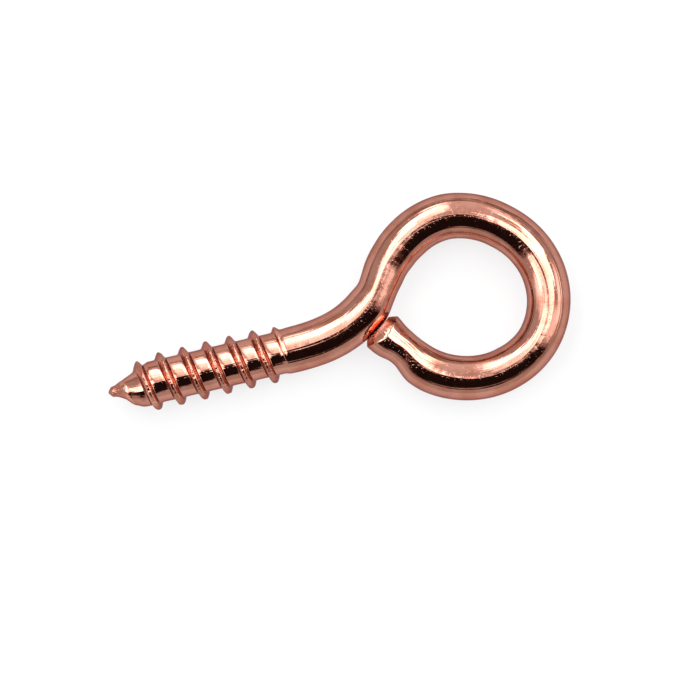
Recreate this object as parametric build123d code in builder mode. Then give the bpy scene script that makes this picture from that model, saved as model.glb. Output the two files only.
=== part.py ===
from build123d import *
import os
from math import acos, atan, ceil, cos, degrees, radians

# Screw eye pin: a length of wire with a gimlet-pointed wood thread at one end and a closed eye at the other.
#
# Millimetres. The origin is the centre of the eye, in the middle of the wire. +X runs along the shank, from
# the tip of the point towards the nose of the eye. The eye lies flat in XY, and +Z is square to it.

# ---- Driving dimensions -------------------------------------------------------------------------
# Wire and eye
wire_diameter = 1.53
eye_inside_diameter = 4.0  # what a hook, ring or cord passes through: the mean of its long and short way
eye_oval = 0.15  # how much tighter or flatter than round its arcs are bent

# Bends that carry the wire from the straight shank round into the eye: radius on the wire's centreline,
# and degrees turned
lead_in_radius = 7.1
lead_in_turn = 12.4
throat_radius = 3.55
throat_turn = 47.9
eye_turn = 286.5
end_radius = 5.5  # the last stretch of the wire is straighter than the eye
end_overrun_turn = 45.0  # it is drawn past the end face, which trims it

# Sheared end of the wire, which closes the eye against the throat
end_gap = 0.07  # clearance between the end face and the throat, where they are nearest
end_heading = 28.5  # slope of the end face: the throat has this heading where the two are nearest
end_rounding = 0.28

# Mark of the closing tool on the outside of the eye
dent_from_end = 1.2  # from the end face to the middle of the mark
dent_depth = 0.2
dent_tool_radius = 1.2
dent_rounding = 0.25

# Rolled wood thread, single start and right-handed
thread_length = 6.12  # from the tip to the plain wire
plain_length = 0.075  # straight plain wire between the thread and the first bend
thread_pitch = 0.81
root_diameter = 1.45
ridge_height = 0.235
ridge_crest = 0.12  # width across its top, before its edges are eased
ridge_chamfer = 0.04
ridge_foot = 0.6  # width of its foot, which is buried in the core so that the two join
ridge_sink = 0.16  # how deep the foot lies
first_crest = 0.32  # from the tip to the first crest on the +Y side
runout_length = 0.22  # where the ridge sinks into the plain wire
runout_cover = 0.025  # how far under the plain wire's surface it ends
shoulder_length = 0.12  # taper from the root up to the plain wire

# Gimlet point
point_length = 1.5  # from the tip to where the core has its full root diameter
tip_diameter = 0.14
tip_rounding = 0.05
start_distance = 0.12  # from the tip to where the ridge rises out of the point
start_scale = 0.25  # size of the ridge there, as a share of its full size
full_distance = 0.72  # from the tip to where the ridge has its full size

# ---- Centreline ---------------------------------------------------------------------------------
wire_radius = wire_diameter / 2
eye_radius = (eye_inside_diameter + wire_diameter) / 2
flat_radius = eye_radius + eye_oval
tight_radius = eye_radius - eye_oval
quarter_turn = 90
entry_angle = lead_in_turn + throat_turn + quarter_turn  # the turn from the nose back to the throat
nose = Vector(eye_radius, -eye_oval)

# Both halves of the eye are drawn from its nose: one back to the shank, the other round to the wire's end.
# Its quarters are flat and tight in turn, so its long way runs from the throat to the far side.
with BuildLine() as shank_path:
    upper_arc = JernArc(nose, (0, 1), flat_radius, quarter_turn)
    entry_arc = JernArc(upper_arc @ 1, upper_arc % 1, tight_radius, entry_angle - quarter_turn)
    throat_arc = JernArc(entry_arc @ 1, entry_arc % 1, throat_radius, -throat_turn)
    lead_in_arc = JernArc(throat_arc @ 1, throat_arc % 1, lead_in_radius, -lead_in_turn)
    thread_end = lead_in_arc @ 1 - Vector(plain_length, 0)
    Line(lead_in_arc @ 1, thread_end)

with BuildLine() as end_path:
    far_arc = JernArc(nose, (0, -1), tight_radius, -quarter_turn)
    closing_turn = eye_turn - entry_angle - quarter_turn
    closing_arc = JernArc(far_arc @ 1, far_arc % 1, flat_radius, -closing_turn)
    JernArc(closing_arc @ 1, closing_arc % 1, end_radius, -end_overrun_turn)

nose_plane = Plane(origin=nose, z_dir=(0, 1, 0))
tip = thread_end - Vector(thread_length, 0)
shank_axis = Axis(tip, (1, 0, 0))

# ---- Threaded core, with its point --------------------------------------------------------------
root_radius = root_diameter / 2
tip_radius = tip_diameter / 2

with BuildPart() as core:
    with BuildSketch(Plane(tip)) as half_profile:
        with BuildLine():
            Polyline(
                (0, 0),
                (0, tip_radius),
                (point_length, root_radius),
                (thread_length - shoulder_length, root_radius),
                (thread_length, wire_radius),
                (thread_length, 0),
                close=True,
            )
        make_face()
        tip_corner = half_profile.vertices().group_by(Axis.X)[0].sort_by(Axis.Y)[-1]
        fillet(tip_corner, tip_rounding)
    revolve(axis=shank_axis)


def core_radius(distance):
    """Radius of the core on the point, at a distance from the tip."""
    return tip_radius + (root_radius - tip_radius) * distance / point_length


# ---- Thread -------------------------------------------------------------------------------------
def ridge_plane(distance):
    """Plane across the shank at a distance from the tip. Its X direction points at the ridge."""
    turn = 360 * (distance - first_crest) / thread_pitch
    centre = tip + Vector(distance, 0)
    return Plane(origin=centre, x_dir=Vector(0, 1, 0).rotate(Axis.X, turn), z_dir=(1, 0, 0))


def ridge_path(start, end, start_radius, end_radius):
    """Right-hand helix between two distances from the tip. Its radius changes evenly on the way."""
    cone = degrees(atan((end_radius - start_radius) / (end - start)))
    slant_pitch = thread_pitch / cos(radians(cone))  # a tapered helix takes its pitch along the taper
    helix = Helix(slant_pitch, end - start, start_radius, cone_angle=cone, mode=Mode.PRIVATE)
    return ridge_plane(start) * helix


def ridge_section(distance, radius, scale):
    """Section of the ridge at a distance from the tip, standing on a core of this radius."""
    across = ridge_plane(distance)
    foot = scale * ridge_foot / 2
    crest = scale * ridge_crest / 2
    bottom = radius - scale * ridge_sink
    top = radius + scale * ridge_height
    with BuildSketch(Plane(origin=across.origin, x_dir=across.x_dir, z_dir=-across.y_dir)) as section:
        with BuildLine():
            Polyline((bottom, -foot), (top, -crest), (top, crest), (bottom, foot), close=True)
        make_face()
        crest_corners = section.vertices().sort_by(Axis(across.origin, across.x_dir))[-2:]
        chamfer(crest_corners, scale * ridge_chamfer)
    return section.sketch


# Stations along the ridge: distance from the tip, radius that the ridge stands on, and its scale. It rises
# small out of the point, climbs the point at full size, runs along the shank in stretches of up to one turn
# and sinks into the wire.
start_height = start_scale * ridge_height
runout_start = thread_length - runout_length
runout_radius = wire_radius - runout_cover - ridge_height
straight_length = runout_start - point_length
stretch_count = ceil(straight_length / thread_pitch)
stations = [
    (start_distance, core_radius(start_distance) - start_height, start_scale),
    (full_distance, core_radius(full_distance), 1.0),
]
for stretch in range(stretch_count + 1):
    stations.append((point_length + straight_length * stretch / stretch_count, root_radius, 1.0))
stations.append((thread_length, runout_radius, 1.0))

with BuildPart() as thread:
    for near, far in zip(stations, stations[1:]):
        sweep(
            [ridge_section(*near), ridge_section(*far)],
            path=ridge_path(near[0], far[0], near[1], far[1]),
            multisection=True,
            is_frenet=True,
        )

# ---- Closing half of the eye, from its nose to the sheared end ----------------------------------
end_aim = Vector(1, 0).rotate(Axis.Z, end_heading - 90)  # from the throat's centre, square to the end face
end_point = throat_arc.arc_center + end_aim * (throat_radius + wire_radius + end_gap)
end_plane = Plane(origin=end_point, z_dir=end_aim)

outside_radius = flat_radius + wire_radius
dent_offset = (end_point - closing_arc.arc_center).dot(end_aim) + dent_from_end
dent_angle = end_heading - 90 - degrees(acos(dent_offset / outside_radius))
dent_aim = Vector(1, 0).rotate(Axis.Z, dent_angle)
dent_centre = closing_arc.arc_center + dent_aim * (outside_radius - dent_depth + dent_tool_radius)

with BuildPart() as closing_half:
    with BuildSketch(nose_plane):
        Circle(wire_radius)
    sweep(path=end_path.line)
    split(bisect_by=end_plane, keep=Keep.TOP)
    end_face = closing_half.faces().filter_by(GeomType.PLANE).sort_by(Axis(end_point, end_aim))[0]
    fillet(end_face.edges(), end_rounding)
    with BuildSketch(Plane.XY):
        with Locations(dent_centre):
            Circle(dent_tool_radius)
    extrude(amount=wire_diameter, both=True, mode=Mode.SUBTRACT)
    dent_face = closing_half.faces().filter_by(GeomType.CYLINDER)[0]
    fillet(dent_face.edges(), dent_rounding)

# ---- Screw eye, in one solid --------------------------------------------------------------------
with BuildPart() as screw_eye:
    with BuildSketch(nose_plane):
        Circle(wire_radius)
    sweep(path=shank_path.line)
    add(closing_half.part)
    add(core.part)
    add(thread.part)

screw_eye.part.label = "screw_eye"
os.makedirs("parts", exist_ok=True)
export_step(screw_eye.part, "parts/screw_eye.step")
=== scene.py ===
import math
import bpy
import numpy as np
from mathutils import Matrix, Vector, noise


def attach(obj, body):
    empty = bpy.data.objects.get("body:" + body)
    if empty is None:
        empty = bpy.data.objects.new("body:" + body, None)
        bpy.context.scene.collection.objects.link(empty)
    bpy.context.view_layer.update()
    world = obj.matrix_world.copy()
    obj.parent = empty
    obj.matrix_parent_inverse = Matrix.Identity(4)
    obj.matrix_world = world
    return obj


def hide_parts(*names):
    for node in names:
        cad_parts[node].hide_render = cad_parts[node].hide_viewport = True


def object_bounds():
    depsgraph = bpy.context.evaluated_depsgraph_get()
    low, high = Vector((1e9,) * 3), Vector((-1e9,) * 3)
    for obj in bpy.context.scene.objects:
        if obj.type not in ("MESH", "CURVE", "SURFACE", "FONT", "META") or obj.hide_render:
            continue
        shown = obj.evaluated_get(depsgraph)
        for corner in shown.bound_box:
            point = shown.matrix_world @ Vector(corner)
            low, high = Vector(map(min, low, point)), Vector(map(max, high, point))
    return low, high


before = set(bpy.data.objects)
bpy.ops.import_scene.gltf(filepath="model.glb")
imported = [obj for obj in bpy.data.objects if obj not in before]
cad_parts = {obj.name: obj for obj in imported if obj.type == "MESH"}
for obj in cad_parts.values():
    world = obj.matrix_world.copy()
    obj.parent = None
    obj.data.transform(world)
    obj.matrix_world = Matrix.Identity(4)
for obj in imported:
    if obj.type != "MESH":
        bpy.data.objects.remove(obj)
cadLow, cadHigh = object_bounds()
mm = 0.001
print("frame loaded")

# The wire is followed from the tip of its point to its sheared end. Millimetres and degrees.
pinWire = {
    "diameter": 1.53,
    "straight": 6.195,  # thread and the plain wire after it
    "leadIn": (7.1, 12.4),  # radius on the centreline, turn to the left
    "throat": (3.55, 47.9),
    "eyeRadius": 2.765,
    "eyeOval": 0.15,  # its quarters are bent flatter and tighter than round, in turn
    "closingTurn": 46.2,
    "end": (5.5, 45.0),  # the last stretch is straighter than the eye; the sheared face stops it short
    # bending has squeezed and shifted the wire: distance along it, then how far it reaches to its left
    # (the outside of the eye) and to its right; the narrow place near the end is the mark of the closing tool
    "sides": [(6.1, 0.765, 0.765), (6.4, 0.79, 0.78), (7.4, 0.765, 0.81), (8.6, 0.755, 0.79),
              (9.45, 0.74, 0.785), (9.85, 0.69, 0.68), (10.2, 0.73, 0.635), (10.6, 0.765, 0.68),
              (11.3, 0.72, 0.785), (12.1, 0.73, 0.82), (13.6, 0.8, 0.755), (15.5, 0.735, 0.795),
              (17.5, 0.78, 0.725), (20.1, 0.77, 0.68), (21.4, 0.75, 0.75), (23.0, 0.77, 0.74),
              (24.1, 0.795, 0.7), (24.6, 0.765, 0.68), (25.15, 0.56, 0.665), (25.4, 0.59, 0.67),
              (25.95, 0.76, 0.68), (26.4, 0.83, 0.63)],
    "easing": 0.1,  # spread of the curve that eases them into each other
    "waviness": (0.9, 0.004),  # size and height of the unevenness left by drawing and bending
    "wavinessStart": (0.0, 0.3),  # it grows from nothing over this stretch from the tip
    # spacing of the rings of faces on the thread, the plain wire and the end, and faces in a ring
    "threadStep": 0.0125,
    "plainStep": 0.09,
    "endStep": 0.03,
    "around": 112,
}
wireRadius = pinWire["diameter"] / 2


def smooth(low, high, value):
    share = np.clip((value - low) / (high - low), 0.0, 1.0)
    return share * share * (3.0 - 2.0 * share)


def leftOf(heading):
    return np.array([-math.sin(heading), math.cos(heading)])


def planRoute():
    # a straight run for the thread, then each bend from where the last one stopped; left turns are positive
    leadIn, throat, end = pinWire["leadIn"], pinWire["throat"], pinWire["end"]
    flat = pinWire["eyeRadius"] + pinWire["eyeOval"]
    tight = pinWire["eyeRadius"] - pinWire["eyeOval"]
    quarter = 90.0
    bends = [
        ("leadIn", leadIn[0], leadIn[1]),
        ("throat", throat[0], throat[1]),
        ("entry", tight, -leadIn[1] - throat[1]),
        ("upper", flat, -quarter),
        ("far", tight, -quarter),
        ("closing", flat, -pinWire["closingTurn"]),
        ("end", end[0], -end[1]),
    ]
    runs = {}
    start = pinWire["straight"]
    place = np.array([start, 0.0])
    heading = 0.0
    for name, radius, turn in bends:
        side = math.copysign(1.0, turn)
        centre = place + side * radius * leftOf(heading)
        runs[name] = {"start": start, "centre": centre, "radius": radius, "side": side, "heading": heading}
        heading += math.radians(turn)
        place = centre - side * radius * leftOf(heading)
        start += radius * math.radians(abs(turn))
    return runs


route = planRoute()
# the centres of the flat quarters lie back from the eye's own centre by the oval's offset
eyeCentre = route["upper"]["centre"] + pinWire["eyeOval"]


def onRoute(distance):
    # x, y and heading on the centreline, with the origin in the centre of the eye
    distance = np.asarray(distance, float)
    x = distance.copy()
    y = np.zeros_like(distance)
    heading = np.zeros_like(distance)
    for run in route.values():
        past = distance >= run["start"]
        turned = run["heading"] + run["side"] * (distance - run["start"]) / run["radius"]
        heading = np.where(past, turned, heading)
        x = np.where(past, run["centre"][0] + run["side"] * run["radius"] * np.sin(turned), x)
        y = np.where(past, run["centre"][1] - run["side"] * run["radius"] * np.cos(turned), y)
    return x - eyeCentre[0], y - eyeCentre[1], heading


def wireSides(distance):
    # sideways shift of the wire's middle and its half width, eased along the wire
    places, left, right = np.array(pinWire["sides"]).T
    margin, fineStep = 1.0, 0.01
    fine = np.arange(places[0] - margin, places[-1] + margin, fineStep)
    reach = np.arange(-4.0, 4.01, 0.1)  # in spreads of the bell curve
    bell = np.exp(-0.5 * reach * reach)
    shift, halfWidth = 0.0, 0.0
    for step, weight in zip(reach * pinWire["easing"], bell / bell.sum()):
        nearLeft = np.interp(fine + step, places, left)
        nearRight = np.interp(fine + step, places, right)
        shift = shift + weight * (nearLeft - nearRight) / 2
        halfWidth = halfWidth + weight * (nearLeft + nearRight) / 2
    return np.interp(distance, fine, shift), np.interp(distance, fine, halfWidth)


def wander(places, size, height):
    values = [noise.noise(Vector(place)) for place in (places / size).reshape(-1, 3).tolist()]
    return np.array(values).reshape(places.shape[:-1]) * height


pinEnd = {
    "heading": 33.0,  # slope of the sheared face
    "gap": 0.028,  # from the throat to the face, before the bends' own unevenness
    # length and slope of its bevel, on the left, above and below, and on the right
    "bevel": ((0.19, 0.34, 0.26), (1.0, 0.68, 1.0)),
    # the bevel and its eased corners, as shares of its length and of its depth
    "bevelShape": [(1.14, 0.0), (1.04, 0.008), (0.96, 0.03), (0.87, 0.08), (0.5, 0.41), (0.2, 0.72),
                   (0.1, 0.83), (0.03, 0.93), (0.0, 1.02)],
    "faceRings": (0.8, 0.6, 0.4, 0.2),  # as shares of the way from the centre of the face to its rim
    "leanOver": 1.0,  # length over which the rings lean to the face
    "shearedReach": (0.34, 0.15),  # back from the face: where it starts to look sheared, where it all does
    "sheared": (1.6, 0.3),  # the dullness there and the marks, as shares of those on the thread's ridge
    # painted reflection, where the end and the throat face each other: how far back from the face, into the
    # throat, and along the face
    "paintedEndReflection": ((0.04, 0.2), (0.2, 0.36), (0.4, 0.68)),
}
faceAngle = math.radians(pinEnd["heading"] - 90.0)
faceAim = np.array([math.cos(faceAngle), math.sin(faceAngle)])
faceReach = route["throat"]["radius"] + wireRadius + pinEnd["gap"]  # from the centre of the throat's bend
facePoint = route["throat"]["centre"] - eyeCentre + faceAim * faceReach


def meetFace():
    # the sheared face: where the centreline crosses it, and how it leans from square
    endRadius, endTurn = pinWire["end"]
    low = route["closing"]["start"]
    high = route["end"]["start"] + endRadius * math.radians(endTurn)
    halvings = 60
    for _ in range(halvings):
        middle = (low + high) / 2
        x, y, heading = onRoute(middle)
        if (x - facePoint[0]) * faceAim[0] + (y - facePoint[1]) * faceAim[1] > 0.0:
            low = middle
        else:
            high = middle
    across = leftOf(float(heading)) @ faceAim
    along = np.array([math.cos(heading), math.sin(heading)]) @ faceAim
    return low, -across / along


faceDistance, faceLean = meetFace()
print("wire followed, length in mm", round(faceDistance, 2))


def ontoFace(distance, side):
    # places on the flat of the sheared face, which is pressed hollow against the throat
    endX, endY, endHeading = onRoute(faceDistance)
    slant = math.hypot(1.0, faceLean)
    touch = (facePoint - np.array([endX, endY])) @ np.array([faceAim[1], -faceAim[0]])
    hollow = (side * slant - touch) ** 2 * slant / (2.0 * (pinWire["throat"][0] + wireRadius))
    along = distance - faceDistance + side * faceLean + hollow
    x = endX + np.cos(endHeading) * along - np.sin(endHeading) * side
    y = endY + np.sin(endHeading) * along + np.cos(endHeading) * side
    return x, y


def endLooks(x, y, distance):
    # shares: how sheared the wire looks, and how closely the end and the throat face each other, for their
    # painted reflection of each other
    shearedStart, shearedFull = pinEnd["shearedReach"]
    sheared = smooth(faceDistance - shearedStart, faceDistance - shearedFull, distance)
    fromFace = (x - facePoint[0]) * faceAim[0] + (y - facePoint[1]) * faceAim[1]
    alongFace = np.abs((x - facePoint[0]) * faceAim[1] - (y - facePoint[1]) * faceAim[0])
    onEnd, onThroat, within = pinEnd["paintedEndReflection"]
    # painted reflection: the copper is brightened where the end and the throat face each other
    paintedEndReflection = (1.0 - smooth(*onEnd, fromFace)) * (1.0 - smooth(*onThroat, -fromFace))
    return sheared, paintedEndReflection * (1.0 - smooth(*within, alongFace))


pinThread = {
    "pitch": 0.81,
    "rootRadius": 0.725,
    "crestRadius": 0.955,
    "firstCrest": 0.32,  # from the tip to the first crest on the +Y side
    "halfBase": (0.17, 0.2),  # of the ridge, on the lower and the upper side
    "roundness": (1.8, 1.15),  # of its crest, on the same sides
    "foot": (0.3, 0.1),  # reach of the hollow foot of the ridge, and its share of the height
    "faceShare": 0.95,  # width of the ridge on the top and the underside, as a share of that at the sides
    "rolled": (0.14, 0.013),  # size and height of the roughness that rolling leaves on the ridge
    "tipRadius": 0.08,
    "tipRounding": 1.5,  # length of the rounding of the tip, in tip radii
    "knob": (0.12, 0.1, 0.035),  # where the tip is thickest, how far that reaches and by how much
    "pointLength": 1.5,
    "crestLength": 1.7,
    "bulge": (1.0, 0.4, 0.2),  # below: where the point is fullest, how far that reaches and by how much
    "swell": (0.6, 0.3, 0.07),  # the same on the top and the underside
    "start": (0.15, 1.25),  # where the crest rises from the point
    "fade": (5.84, 6.2),  # where it sinks away
    "shoulder": (5.95, 6.16),  # where the core comes up to the wire
    "ridgeLook": (0.01, 0.08),  # heights over the core from which the ridge starts and is all rough
    # the band on the ridge's flank that gets a painted reflection:
    "flankReflectionLook": (0.005, 0.045, 0.16, 0.22),  # heights over which its flank starts and stops
    "lookFade": (6.0, 6.3),  # where both looks go over into the plain wire
    "pinched": (0.4, 1.1, 0.7),  # the tip is rough up to here, less up to there, and by this share
}


def coreRadius(distance, angle):
    # rounded tip, cone that is fuller on its lower side, root, and shoulder up to the wire
    tipRadius = pinThread["tipRadius"]
    slope = (pinThread["rootRadius"] - tipRadius) / pinThread["pointLength"]
    core = np.minimum(tipRadius + slope * distance, pinThread["rootRadius"])
    roundShare = np.clip(distance / (pinThread["tipRounding"] * tipRadius), 0.0, 1.0)
    core = core * np.sqrt(1.0 - (1.0 - roundShare) ** 2)
    knobAt, knobReach, knobHeight = pinThread["knob"]
    core = core + knobHeight * np.exp(-((distance - knobAt) / knobReach) ** 2) * roundShare
    lower = (0.5 - 0.5 * np.cos(angle)) ** 2
    bulgeAt, bulgeReach, bulgeHeight = pinThread["bulge"]
    core = core + bulgeHeight * lower * np.exp(-((distance - bulgeAt) / bulgeReach) ** 2)
    swellAt, swellReach, swellHeight = pinThread["swell"]
    core = core + swellHeight * np.sin(angle) ** 2 * np.exp(-((distance - swellAt) / swellReach) ** 2)
    return core + (wireRadius - core) * smooth(*pinThread["shoulder"], distance)


def threadRadius(distance, angle):
    core = coreRadius(distance, angle)
    pitch = pinThread["pitch"]
    lead = distance - pinThread["firstCrest"] - pitch * angle / (2 * math.pi)
    away = np.abs((lead + pitch / 2) % pitch - pitch / 2)
    upper = 0.5 + 0.5 * np.cos(angle)
    lowerBase, upperBase = pinThread["halfBase"]
    halfBase = lowerBase + (upperBase - lowerBase) * upper
    halfBase = halfBase * (1.0 - (1.0 - pinThread["faceShare"]) * np.sin(angle) ** 2)
    lowerRoundness, upperRoundness = pinThread["roundness"]
    roundness = lowerRoundness + (upperRoundness - lowerRoundness) * upper
    share = np.clip(away / halfBase, 0.0, 1.0)
    footReach, footShare = pinThread["foot"]
    foot = 0.5 + 0.5 * np.cos(math.pi * np.clip(away / footReach, 0.0, 1.0))
    profile = (1.0 - footShare) * (0.5 + 0.5 * np.cos(math.pi * share ** roundness)) + footShare * foot
    crestShare = np.clip(distance / pinThread["crestLength"], 0.0, 1.0)
    crest = pinThread["crestRadius"] * np.sin(crestShare * math.pi / 2)
    height = np.maximum(crest - core, 0.0) * smooth(*pinThread["start"], distance)
    return core + height * profile * (1.0 - smooth(*pinThread["fade"], distance))


def threadLooks(distance, angles, radii):
    # shares: how rough the wire is from rolling, and how closely the flanks of the ridge face each other, for
    # their painted reflection of each other
    height = radii - coreRadius(distance, angles)
    threaded = 1.0 - smooth(*pinThread["lookFade"], distance)
    ridge = smooth(*pinThread["ridgeLook"], height) * threaded
    pinchStart, pinchStop, pinchShare = pinThread["pinched"]
    rough = np.maximum(ridge, pinchShare * (1.0 - smooth(pinchStart, pinchStop, distance)))
    footStart, footStop, crestStart, crestStop = pinThread["flankReflectionLook"]
    # painted reflection: the flanks of the ridge get brighter copper where they face each other, on the top
    # and the underside
    flankReflection = smooth(footStart, footStop, height) * (1.0 - smooth(crestStart, crestStop, height)) * threaded
    return rough, flankReflection * np.sin(angles) ** 2


def pinRows():
    # one row for each ring: distances and radii round the ring, share of the face's lean
    angles = np.arange(pinWire["around"]) * 2 * math.pi / pinWire["around"]
    left = np.maximum(np.cos(angles), 0.0) ** 2
    right = np.maximum(-np.cos(angles), 0.0) ** 2
    bevel, slope = (np.stack([left, np.sin(angles) ** 2, right], axis=-1) @ np.array(pinEnd["bevel"]).T).T
    firstRing = pinWire["threadStep"] / 3
    margin = 0.1  # of closely spaced rings past the thread
    threadStop = pinThread["fade"][1] + margin
    leanStart = faceDistance - pinEnd["leanOver"]
    sideStop = faceDistance - bevel.max() * pinEnd["bevelShape"][0][0]
    threaded = np.arange(firstRing, threadStop, pinWire["threadStep"])
    plain = np.arange(threadStop, leanStart, pinWire["plainStep"])
    leaning = np.arange(leanStart, sideStop - pinWire["endStep"] / 2, pinWire["endStep"])
    rows = []
    for distance in np.concatenate([threaded, plain, leaning]):
        lean = smooth(leanStart, sideStop, distance)
        rows.append((np.full_like(angles, distance), threadRadius(distance, angles), lean))
    for back, inset in pinEnd["bevelShape"]:
        rows.append((faceDistance - back * bevel, wireRadius - inset * bevel * slope, 1.0))
    for share in pinEnd["faceRings"]:
        rows.append((np.full_like(angles, faceDistance), (wireRadius - bevel * slope) * share, 1.0))
    return rows, angles


def pinSurface():
    rows, angles = pinRows()
    distance, radii, lean = (np.array(column) for column in zip(*rows))
    lean = lean[:, None]
    rough, flankReflection = threadLooks(distance, angles, radii)
    shift, halfWidth = wireSides(distance)
    side = shift + radii * np.cos(angles) * halfWidth / wireRadius
    rise = radii * np.sin(angles)
    skin = np.stack([distance, radii * np.cos(angles), rise], axis=-1)
    uneven = wander(skin, *pinWire["waviness"]) + wander(skin, *pinThread["rolled"]) * rough
    growth = uneven * smooth(*pinWire["wavinessStart"], distance) / wireRadius
    side = side * (1.0 + growth)
    rise = rise * (1.0 + growth)
    x, y, heading = onRoute(distance + lean * side * faceLean)
    x = x - np.sin(heading) * side
    y = y + np.cos(heading) * side
    # the last rings go over from square to the wire into the face
    faceX, faceY = ontoFace(distance, side)
    x = x + lean * (faceX - x)
    y = y + lean * (faceY - y)
    sheared, paintedEndReflection = endLooks(x, y, distance)
    shearedDull, shearedMarks = pinEnd["sheared"]
    looks = {
        "worked": np.maximum(rough, shearedDull * sheared),
        "rolled": np.maximum(rough, shearedMarks * sheared),
        # painted reflection where the ridge's flanks, or the end and the throat, face each other
        "paintedReflection": np.maximum(flankReflection, paintedEndReflection),
    }
    return x, y, rise, distance, looks


def buildPin():
    x, y, z, distance, looks = pinSurface()
    rowCount, around = x.shape
    endX, endY, _ = onRoute(faceDistance)
    poles = np.array([[-eyeCentre[0], -eyeCentre[1], 0.0], [float(endX), float(endY), 0.0]])
    points = np.concatenate([np.stack([x, y, z], axis=-1).reshape(-1, 3), poles])
    tipPole = rowCount * around
    facePole = tipPole + 1
    faces = []
    places = []  # along and round the wire, for the marks of drawing
    for row in range(rowCount - 1):
        here = row * around
        near, far = distance[row].mean(), distance[row + 1].mean()
        for step in range(around):
            beyond = (step + 1) % around
            faces.append((here + step, here + beyond, here + around + beyond, here + around + step))
            places += [(near, step), (near, step + 1), (far, step + 1), (far, step)]
    last = (rowCount - 1) * around
    for step in range(around):
        beyond = (step + 1) % around
        faces.append((tipPole, beyond, step))
        faces.append((facePole, last + step, last + beyond))
        places += [(0.0, step), (0.0, step + 1), (0.0, step)]
        places += [(faceDistance, step), (faceDistance, step), (faceDistance, step + 1)]
    mesh = bpy.data.meshes.new("screwEye")
    mesh.from_pydata((points * mm).tolist(), [], faces)
    flat = np.array(places) / (10.0, around)  # centimetres along the wire, and once round it
    mesh.uv_layers.new(name="alongWire").data.foreach_set("uv", flat.ravel())
    atPoles = (0.0, 1.0)  # tip and face
    for name, share in looks.items():
        look = mesh.attributes.new(name, "FLOAT", "POINT")
        look.data.foreach_set("value", np.append(share.ravel(), atPoles))
    mesh.shade_smooth()
    mesh.update()
    pin = bpy.data.objects.new("screwEye", mesh)
    bpy.context.scene.collection.objects.link(pin)
    return pin


pin = buildPin()
print("pin built, faces", len(pin.data.polygons))

# sizes and heights in millimetres; a pattern is its size and how fine its detail goes
platingLook = {
    "copper": (0.515, 0.238, 0.177, 1.0),
    "deepCopper": (0.45, 0.186, 0.13, 1.0),
    # painted reflection: brighter copper stands in for the light that facing copper surfaces throw on each
    # other
    "paintedReflectionCopper": (0.86, 0.4, 0.29, 1.0),  # where flanks of the ridge, or end and throat, light each other
    "edge": (0.43, 0.33, 0.37, 1.0),  # at a glancing view
    "toneDrift": (0.6, 3.0),
    "driftLimits": (0.4, 0.62),  # values of the pattern where the deeper copper starts and is full
    "dullSpots": (0.09, 2.0),
    "dullLimits": (0.45, 0.75),
    "roughness": (0.05, 0.12),  # of the polish and of a dull spot
    "workedRoughness": 0.12,  # more on the rolled ridges and round the sheared end
    "workedTone": 0.7,  # share of the deeper copper there
    "orangePeel": (0.35, 1.5),
    "peelHeight": 0.006,
    "pits": (0.06, 0.0),
    "pitLimits": (0.24, 0.34),
    "pitHeight": 0.001,
    "drawnLines": (2.0, 42.0),  # to a centimetre along the wire, and round it
    "drawnDetail": 2.0,
    "drawnHeight": 0.013,
    "rolledMarks": (0.1, 1.0),
    "rolledHeight": 0.024,
}


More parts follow.
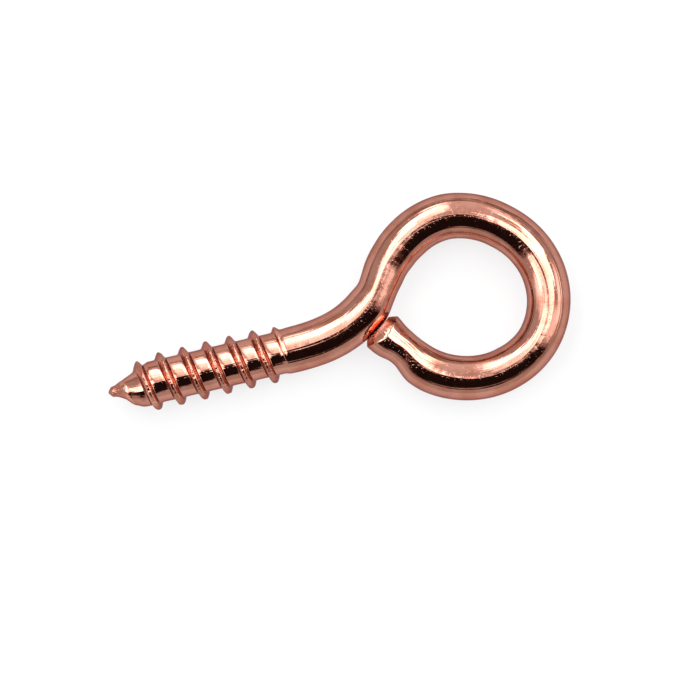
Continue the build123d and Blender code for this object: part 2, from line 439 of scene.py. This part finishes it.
def copperPlating():
    plating = bpy.data.materials.new("copperPlating")
    plating.use_nodes = True
    nodes = plating.node_tree.nodes
    links = plating.node_tree.links
    shader = nodes["Principled BSDF"]
    shader.inputs["Metallic"].default_value = 1.0
    shader.inputs["Specular Tint"].default_value = platingLook["edge"]
    place = nodes.new("ShaderNodeTexCoord").outputs["Object"]

    def lookOf(name):
        look = nodes.new("ShaderNodeAttribute")
        look.attribute_name = name
        return look.outputs["Fac"]

    def pattern(size, detail):
        texture = nodes.new("ShaderNodeTexNoise")
        texture.inputs["Scale"].default_value = 1.0 / (size * mm)
        texture.inputs["Detail"].default_value = detail
        links.new(place, texture.inputs["Vector"])
        return texture.outputs["Fac"]

    def between(value, limits, results):
        change = nodes.new("ShaderNodeMapRange")
        change.inputs["From Min"].default_value, change.inputs["From Max"].default_value = limits
        change.inputs["To Min"].default_value, change.inputs["To Max"].default_value = results
        links.new(value, change.inputs["Value"])
        return change.outputs["Result"]

    def bump(height, distance, below=None):
        relief = nodes.new("ShaderNodeBump")
        relief.inputs["Distance"].default_value = distance * mm
        links.new(height, relief.inputs["Height"])
        if below is not None:
            links.new(below, relief.inputs["Normal"])
        return relief.outputs["Normal"]

    worked = lookOf("worked")

    def moreWhereWorked(value, share):
        more = nodes.new("ShaderNodeMath")
        more.operation = "MULTIPLY_ADD"
        more.use_clamp = True
        more.inputs[1].default_value = share
        links.new(worked, more.inputs[0])
        links.new(value, more.inputs[2])
        return more.outputs[0]

    # tone drifts a little over the plating, and a painted reflection makes it brighter where copper lights
    # copper
    tone = nodes.new("ShaderNodeMix")
    tone.data_type = "RGBA"
    tone.inputs["A"].default_value = platingLook["copper"]
    tone.inputs["B"].default_value = platingLook["deepCopper"]
    drift = between(pattern(*platingLook["toneDrift"]), platingLook["driftLimits"], (0.0, 1.0))
    links.new(moreWhereWorked(drift, platingLook["workedTone"]), tone.inputs["Factor"])
    paintedReflectionTone = nodes.new("ShaderNodeMix")
    paintedReflectionTone.data_type = "RGBA"
    paintedReflectionTone.inputs["B"].default_value = platingLook["paintedReflectionCopper"]
    links.new(lookOf("paintedReflection"), paintedReflectionTone.inputs["Factor"])
    links.new(tone.outputs["Result"], paintedReflectionTone.inputs["A"])
    links.new(paintedReflectionTone.outputs["Result"], shader.inputs["Base Color"])
    # dull spots among the polish
    dull = between(pattern(*platingLook["dullSpots"]), platingLook["dullLimits"], platingLook["roughness"])
    links.new(moreWhereWorked(dull, platingLook["workedRoughness"]), shader.inputs["Roughness"])
    # orange peel and pits
    peel = bump(pattern(*platingLook["orangePeel"]), platingLook["peelHeight"])
    pits = between(pattern(*platingLook["pits"]), platingLook["pitLimits"], (0.0, 1.0))
    pitted = bump(pits, platingLook["pitHeight"], peel)
    # the lines of drawing run along the wire
    along = nodes.new("ShaderNodeUVMap")
    along.uv_map = "alongWire"
    stretch = nodes.new("ShaderNodeMapping")
    stretch.inputs["Scale"].default_value = (*platingLook["drawnLines"], 1.0)
    links.new(along.outputs["UV"], stretch.inputs["Vector"])
    lines = nodes.new("ShaderNodeTexNoise")
    lines.inputs["Scale"].default_value = 1.0
    lines.inputs["Detail"].default_value = platingLook["drawnDetail"]
    links.new(stretch.outputs["Vector"], lines.inputs["Vector"])
    drawn = bump(lines.outputs["Fac"], platingLook["drawnHeight"], pitted)
    # marks of rolling, on the thread and faintly round the sheared end
    marks = nodes.new("ShaderNodeMath")
    marks.operation = "MULTIPLY"
    links.new(pattern(*platingLook["rolledMarks"]), marks.inputs[0])
    links.new(lookOf("rolled"), marks.inputs[1])
    links.new(bump(marks.outputs[0], platingLook["rolledHeight"], drawn), shader.inputs["Normal"])
    return plating


pin.data.materials.append(copperPlating())
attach(pin, "root")
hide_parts("screw_eye")
print("plating made")

# A pale table under a soft light tent. The table, the tent and the camera are turned together over the pin.
studioTurn = math.radians(-13.11)

# painted in degrees from straight up: x to the right, y away from the front of the table
tentLook = {
    "radius": 300.0,
    "steps": (1.5, 3.0),  # between its corners, down and round
    "skirt": 93.0,  # its cloth ends above this
    "level": 0.75,
    # it darkens towards the table from this start, and less and less over its front
    "rim": {"start": 74.0, "front": (-40.0, 20.0), "level": 0.3},
    # the dim parts of the room are warm: level, then its tone
    "dimTones": [(0.0, (1.0, 0.8, 0.8, 1.0)), (0.1, (1.0, 0.4, 0.28, 1.0)), (0.65, (1.0, 1.0, 1.0, 1.0))],
    # soft strips of light, painted in this order: x, y, half width and level along each
    "lamps": {
        "ceiling": [(0, 6, 8, 0.9), (0, 30, 20, 1.15), (0, 62, 30, 1.3), (0, 90, 34, 1.1)],
        "leftSide": [(-38, -4, 15, 2.3), (-52, -6, 14, 1.9), (-70, -8, 16, 1.0)],
        "rightCard": [(24, -7, 6, 1.5), (42, -12, 9, 2.3), (54, -12, 11, 2.8), (59, 3, 12, 3.0),
                      (58, 17, 10, 2.6)],
        "leftMiddle": [(-6, 5, 5, 2.5), (-11, 12, 5.5, 2.8), (-11, 22, 6, 3.2), (-11, 34, 6.5, 4.2),
                       (-12, 46, 6.5, 4.4), (-12, 57, 6, 3.4)],
        "leftLamp": [(-16, 4, 6.5, 4.5), (-22, 13, 7.5, 6.5), (-26, 25, 8, 7.5), (-25, 37, 8, 7.8),
                     (-21, 48, 8, 7.5), (-17, 58, 7.5, 5.5), (-13, 68, 6, 2.4), (-10, 78, 6, 1.2)],
        "leftLow": [(-14, -6, 5, 3.0), (-24, -11, 6.5, 5.5), (-34, -13, 8.5, 6.6), (-45, -13, 9.5, 5.8),
                    (-56, -10, 8.5, 3.2), (-66, -6, 8, 1.5)],
        "rightMiddle": [(5, 3, 4, 4.0), (10, 8, 7, 6.8), (15, 14, 7, 6.8), (16, 22, 5.5, 5.0)],
        "rightFoot": [(12, 0, 6.5, 4.8), (20, 2, 7, 5.2)],
        "rightLamp": [(24, 6, 6.5, 5.2), (28, 11, 6.5, 6.6), (31, 19, 6.5, 7.4), (33, 30, 7.5, 7.8),
                      (32, 39, 7.5, 7.5), (28, 48, 7.5, 5.5), (23, 56, 6, 2.6)],
    },
    "stripEdge": (0.68, 1.22),  # where the light of a strip fades out, in half widths
    # the dark front of the tent, where the camera looks in: a sector below its corner, with the softness of
    # its left, right and far edges, and how much farther it reaches for each degree to the side
    "opening": {"corner": (0, 1), "sides": (220, 330), "reach": 61, "softness": (2.5, 4.0, 4.0),
                "widening": 0.16, "level": 0.02},
}


def studioPoint(x, y, height):
    turnedX = x * math.cos(studioTurn) - y * math.sin(studioTurn)
    turnedY = x * math.sin(studioTurn) + y * math.cos(studioTurn)
    return Vector((turnedX, turnedY, height)) * mm


def paintStrip(level, x, y, strip):
    # the nearest stretch of the strip gives its light, which fades out over its edge
    bestCover = np.zeros_like(level)
    bestLevel = np.zeros_like(level)
    for near, far in zip(strip, strip[1:]):
        runX, runY = far[0] - near[0], far[1] - near[1]
        share = ((x - near[0]) * runX + (y - near[1]) * runY) / (runX * runX + runY * runY)
        share = np.clip(share, 0.0, 1.0)
        away = np.hypot(x - near[0] - share * runX, y - near[1] - share * runY)
        cover = 1.0 - smooth(*tentLook["stripEdge"], away / (near[2] + share * (far[2] - near[2])))
        closer = cover > bestCover
        bestLevel = np.where(closer, near[3] + share * (far[3] - near[3]), bestLevel)
        bestCover = np.where(closer, cover, bestCover)
    return level + (bestLevel - level) * bestCover


def paintOpening(level, x, y):
    opening = tentLook["opening"]
    x = x - opening["corner"][0]
    y = y - opening["corner"][1]
    left, right = (math.radians(side) for side in opening["sides"])
    leftSoft, rightSoft, farSoft = opening["softness"]
    insideLeft = -x * math.sin(left) + y * math.cos(left)
    insideRight = x * math.sin(right) - y * math.cos(right)
    beyond = np.hypot(x, y) - opening["reach"] - opening["widening"] * np.abs(x)
    cover = smooth(-leftSoft, leftSoft, insideLeft) * smooth(-rightSoft, rightSoft, insideRight)
    cover = cover * (1.0 - smooth(-farSoft, farSoft, beyond))
    return level + (opening["level"] - level) * cover


def paintRim(level, zenith, y):
    rim = tentLook["rim"]
    return level + (rim["level"] - level) * smooth(rim["start"], 90.0, zenith) * smooth(*rim["front"], y)


def tentMaterial():
    lit = bpy.data.materials.new("lightTent")
    lit.use_nodes = True
    nodes = lit.node_tree.nodes
    links = lit.node_tree.links
    nodes.clear()
    level = nodes.new("ShaderNodeAttribute")
    level.attribute_name = "level"
    emission = nodes.new("ShaderNodeEmission")
    output = nodes.new("ShaderNodeOutputMaterial")
    tone = nodes.new("ShaderNodeValToRGB")
    stops = tone.color_ramp.elements
    stops.new(0.5)  # the third; all three get their places below
    for stop, (position, colour) in zip(stops, tentLook["dimTones"]):
        stop.position = position
        stop.color = colour
    links.new(level.outputs["Fac"], tone.inputs["Fac"])
    links.new(tone.outputs["Color"], emission.inputs["Color"])
    links.new(level.outputs["Fac"], emission.inputs["Strength"])
    links.new(emission.outputs[0], output.inputs[0])
    return lit


def lightTent():
    # a dome of soft white cloth: one corner for each direction, and its light at each corner
    down, round = tentLook["steps"]
    zenith, azimuth = np.meshgrid(np.arange(0.0, tentLook["skirt"], down), np.arange(0.0, 360.0, round),
                                  indexing="ij")
    turned = np.radians(azimuth)
    x = zenith * np.cos(turned)
    y = zenith * np.sin(turned)
    level = np.full_like(x, tentLook["level"])
    for strip in tentLook["lamps"].values():
        level = paintStrip(level, x, y, strip)
    level = paintOpening(level, x, y)
    level = paintRim(level, zenith, y)
    rings, around = zenith.shape
    out = tentLook["radius"] * np.sin(np.radians(zenith))
    up = tentLook["radius"] * np.cos(np.radians(zenith))
    corners = zip((out * np.cos(turned)).ravel(), (out * np.sin(turned)).ravel(), up.ravel())
    faces = []
    for ring in range(rings - 1):
        for step in range(around):
            corner = ring * around + step
            beyond = ring * around + (step + 1) % around
            faces.append((corner, beyond, beyond + around, corner + around))
    mesh = bpy.data.meshes.new("lightTent")
    mesh.from_pydata([studioPoint(*corner) for corner in corners], [], faces)
    mesh.attributes.new("level", "FLOAT", "POINT").data.foreach_set("value", level.ravel())
    mesh.materials.append(tentMaterial())
    tent = bpy.data.objects.new("lightTent", mesh)
    bpy.context.scene.collection.objects.link(tent)
    tent.visible_camera = False
    tent.visible_shadow = False


lightTent()
print("light tent painted")

tableLook = {
    "reach": 300.0,
    "colour": (0.68, 0.68, 0.68, 1.0),
    "roughness": 0.8,
    "ownLight": 0.77,  # share of plain white where the camera or a reflection sees it
}


def paleTable():
    reach = tableLook["reach"]
    low = cadLow.z / mm
    mesh = bpy.data.meshes.new("paleTable")
    corners = [(-reach, -reach), (reach, -reach), (reach, reach), (-reach, reach)]
    mesh.from_pydata([studioPoint(x, y, low) for x, y in corners], [], [(0, 1, 2, 3)])
    table = bpy.data.objects.new("paleTable", mesh)
    bpy.context.scene.collection.objects.link(table)
    surface = bpy.data.materials.new("paleTable")
    surface.use_nodes = True
    nodes = surface.node_tree.nodes
    links = surface.node_tree.links
    shader = nodes["Principled BSDF"]
    shader.inputs["Base Color"].default_value = tableLook["colour"]
    shader.inputs["Roughness"].default_value = tableLook["roughness"]
    shader.inputs["Specular IOR Level"].default_value = 0.0
    white = nodes.new("ShaderNodeEmission")
    white.inputs["Strength"].default_value = 1.0
    ray = nodes.new("ShaderNodeLightPath")
    # camera, glossy and transmission rays see its own light, and the rest see it lit by the tent
    reflected = nodes.new("ShaderNodeMath")
    reflected.operation = "ADD"
    links.new(ray.outputs["Is Glossy Ray"], reflected.inputs[0])
    links.new(ray.outputs["Is Transmission Ray"], reflected.inputs[1])
    seen = nodes.new("ShaderNodeMath")
    seen.operation = "ADD"
    seen.use_clamp = True
    links.new(ray.outputs["Is Camera Ray"], seen.inputs[0])
    links.new(reflected.outputs[0], seen.inputs[1])
    share = nodes.new("ShaderNodeMath")
    share.operation = "MULTIPLY"
    share.inputs[1].default_value = tableLook["ownLight"]
    links.new(seen.outputs[0], share.inputs[0])
    mix = nodes.new("ShaderNodeMixShader")
    links.new(share.outputs[0], mix.inputs[0])
    links.new(shader.outputs[0], mix.inputs[1])
    links.new(white.outputs[0], mix.inputs[2])
    links.new(mix.outputs[0], nodes["Material Output"].inputs[0])
    mesh.materials.append(surface)


paleTable()


def studioWorld():
    world = bpy.data.worlds.new("studioWorld")
    bpy.context.scene.world = world
    world.use_nodes = True
    background = world.node_tree.nodes["Background"]
    background.inputs["Color"].default_value = (1.0, 1.0, 1.0, 1.0)
    background.inputs["Strength"].default_value = 1.0


studioWorld()
print("table and world set")

# the camera looks straight down; the width and the centre of what it sees on the level of the eye
cameraView = {
    "width": 22.97,
    "centre": (-4.442, -0.465),
    "lens": 300.0,
    "clip": (10.0, 10000.0),
}


def studioCamera():
    camera = bpy.data.cameras.new("camera")
    camera.lens = cameraView["lens"]
    camera.clip_start, camera.clip_end = (limit * mm for limit in cameraView["clip"])
    stand = bpy.data.objects.new("camera", camera)
    bpy.context.scene.collection.objects.link(stand)
    height = cameraView["width"] * cameraView["lens"] / camera.sensor_width
    stand.location = Vector((*cameraView["centre"], height)) * mm
    stand.rotation_euler = (0.0, 0.0, studioTurn)
    bpy.context.scene.camera = stand


studioCamera()
bpy.context.scene.view_settings.view_transform = "Standard"
print("studio set")
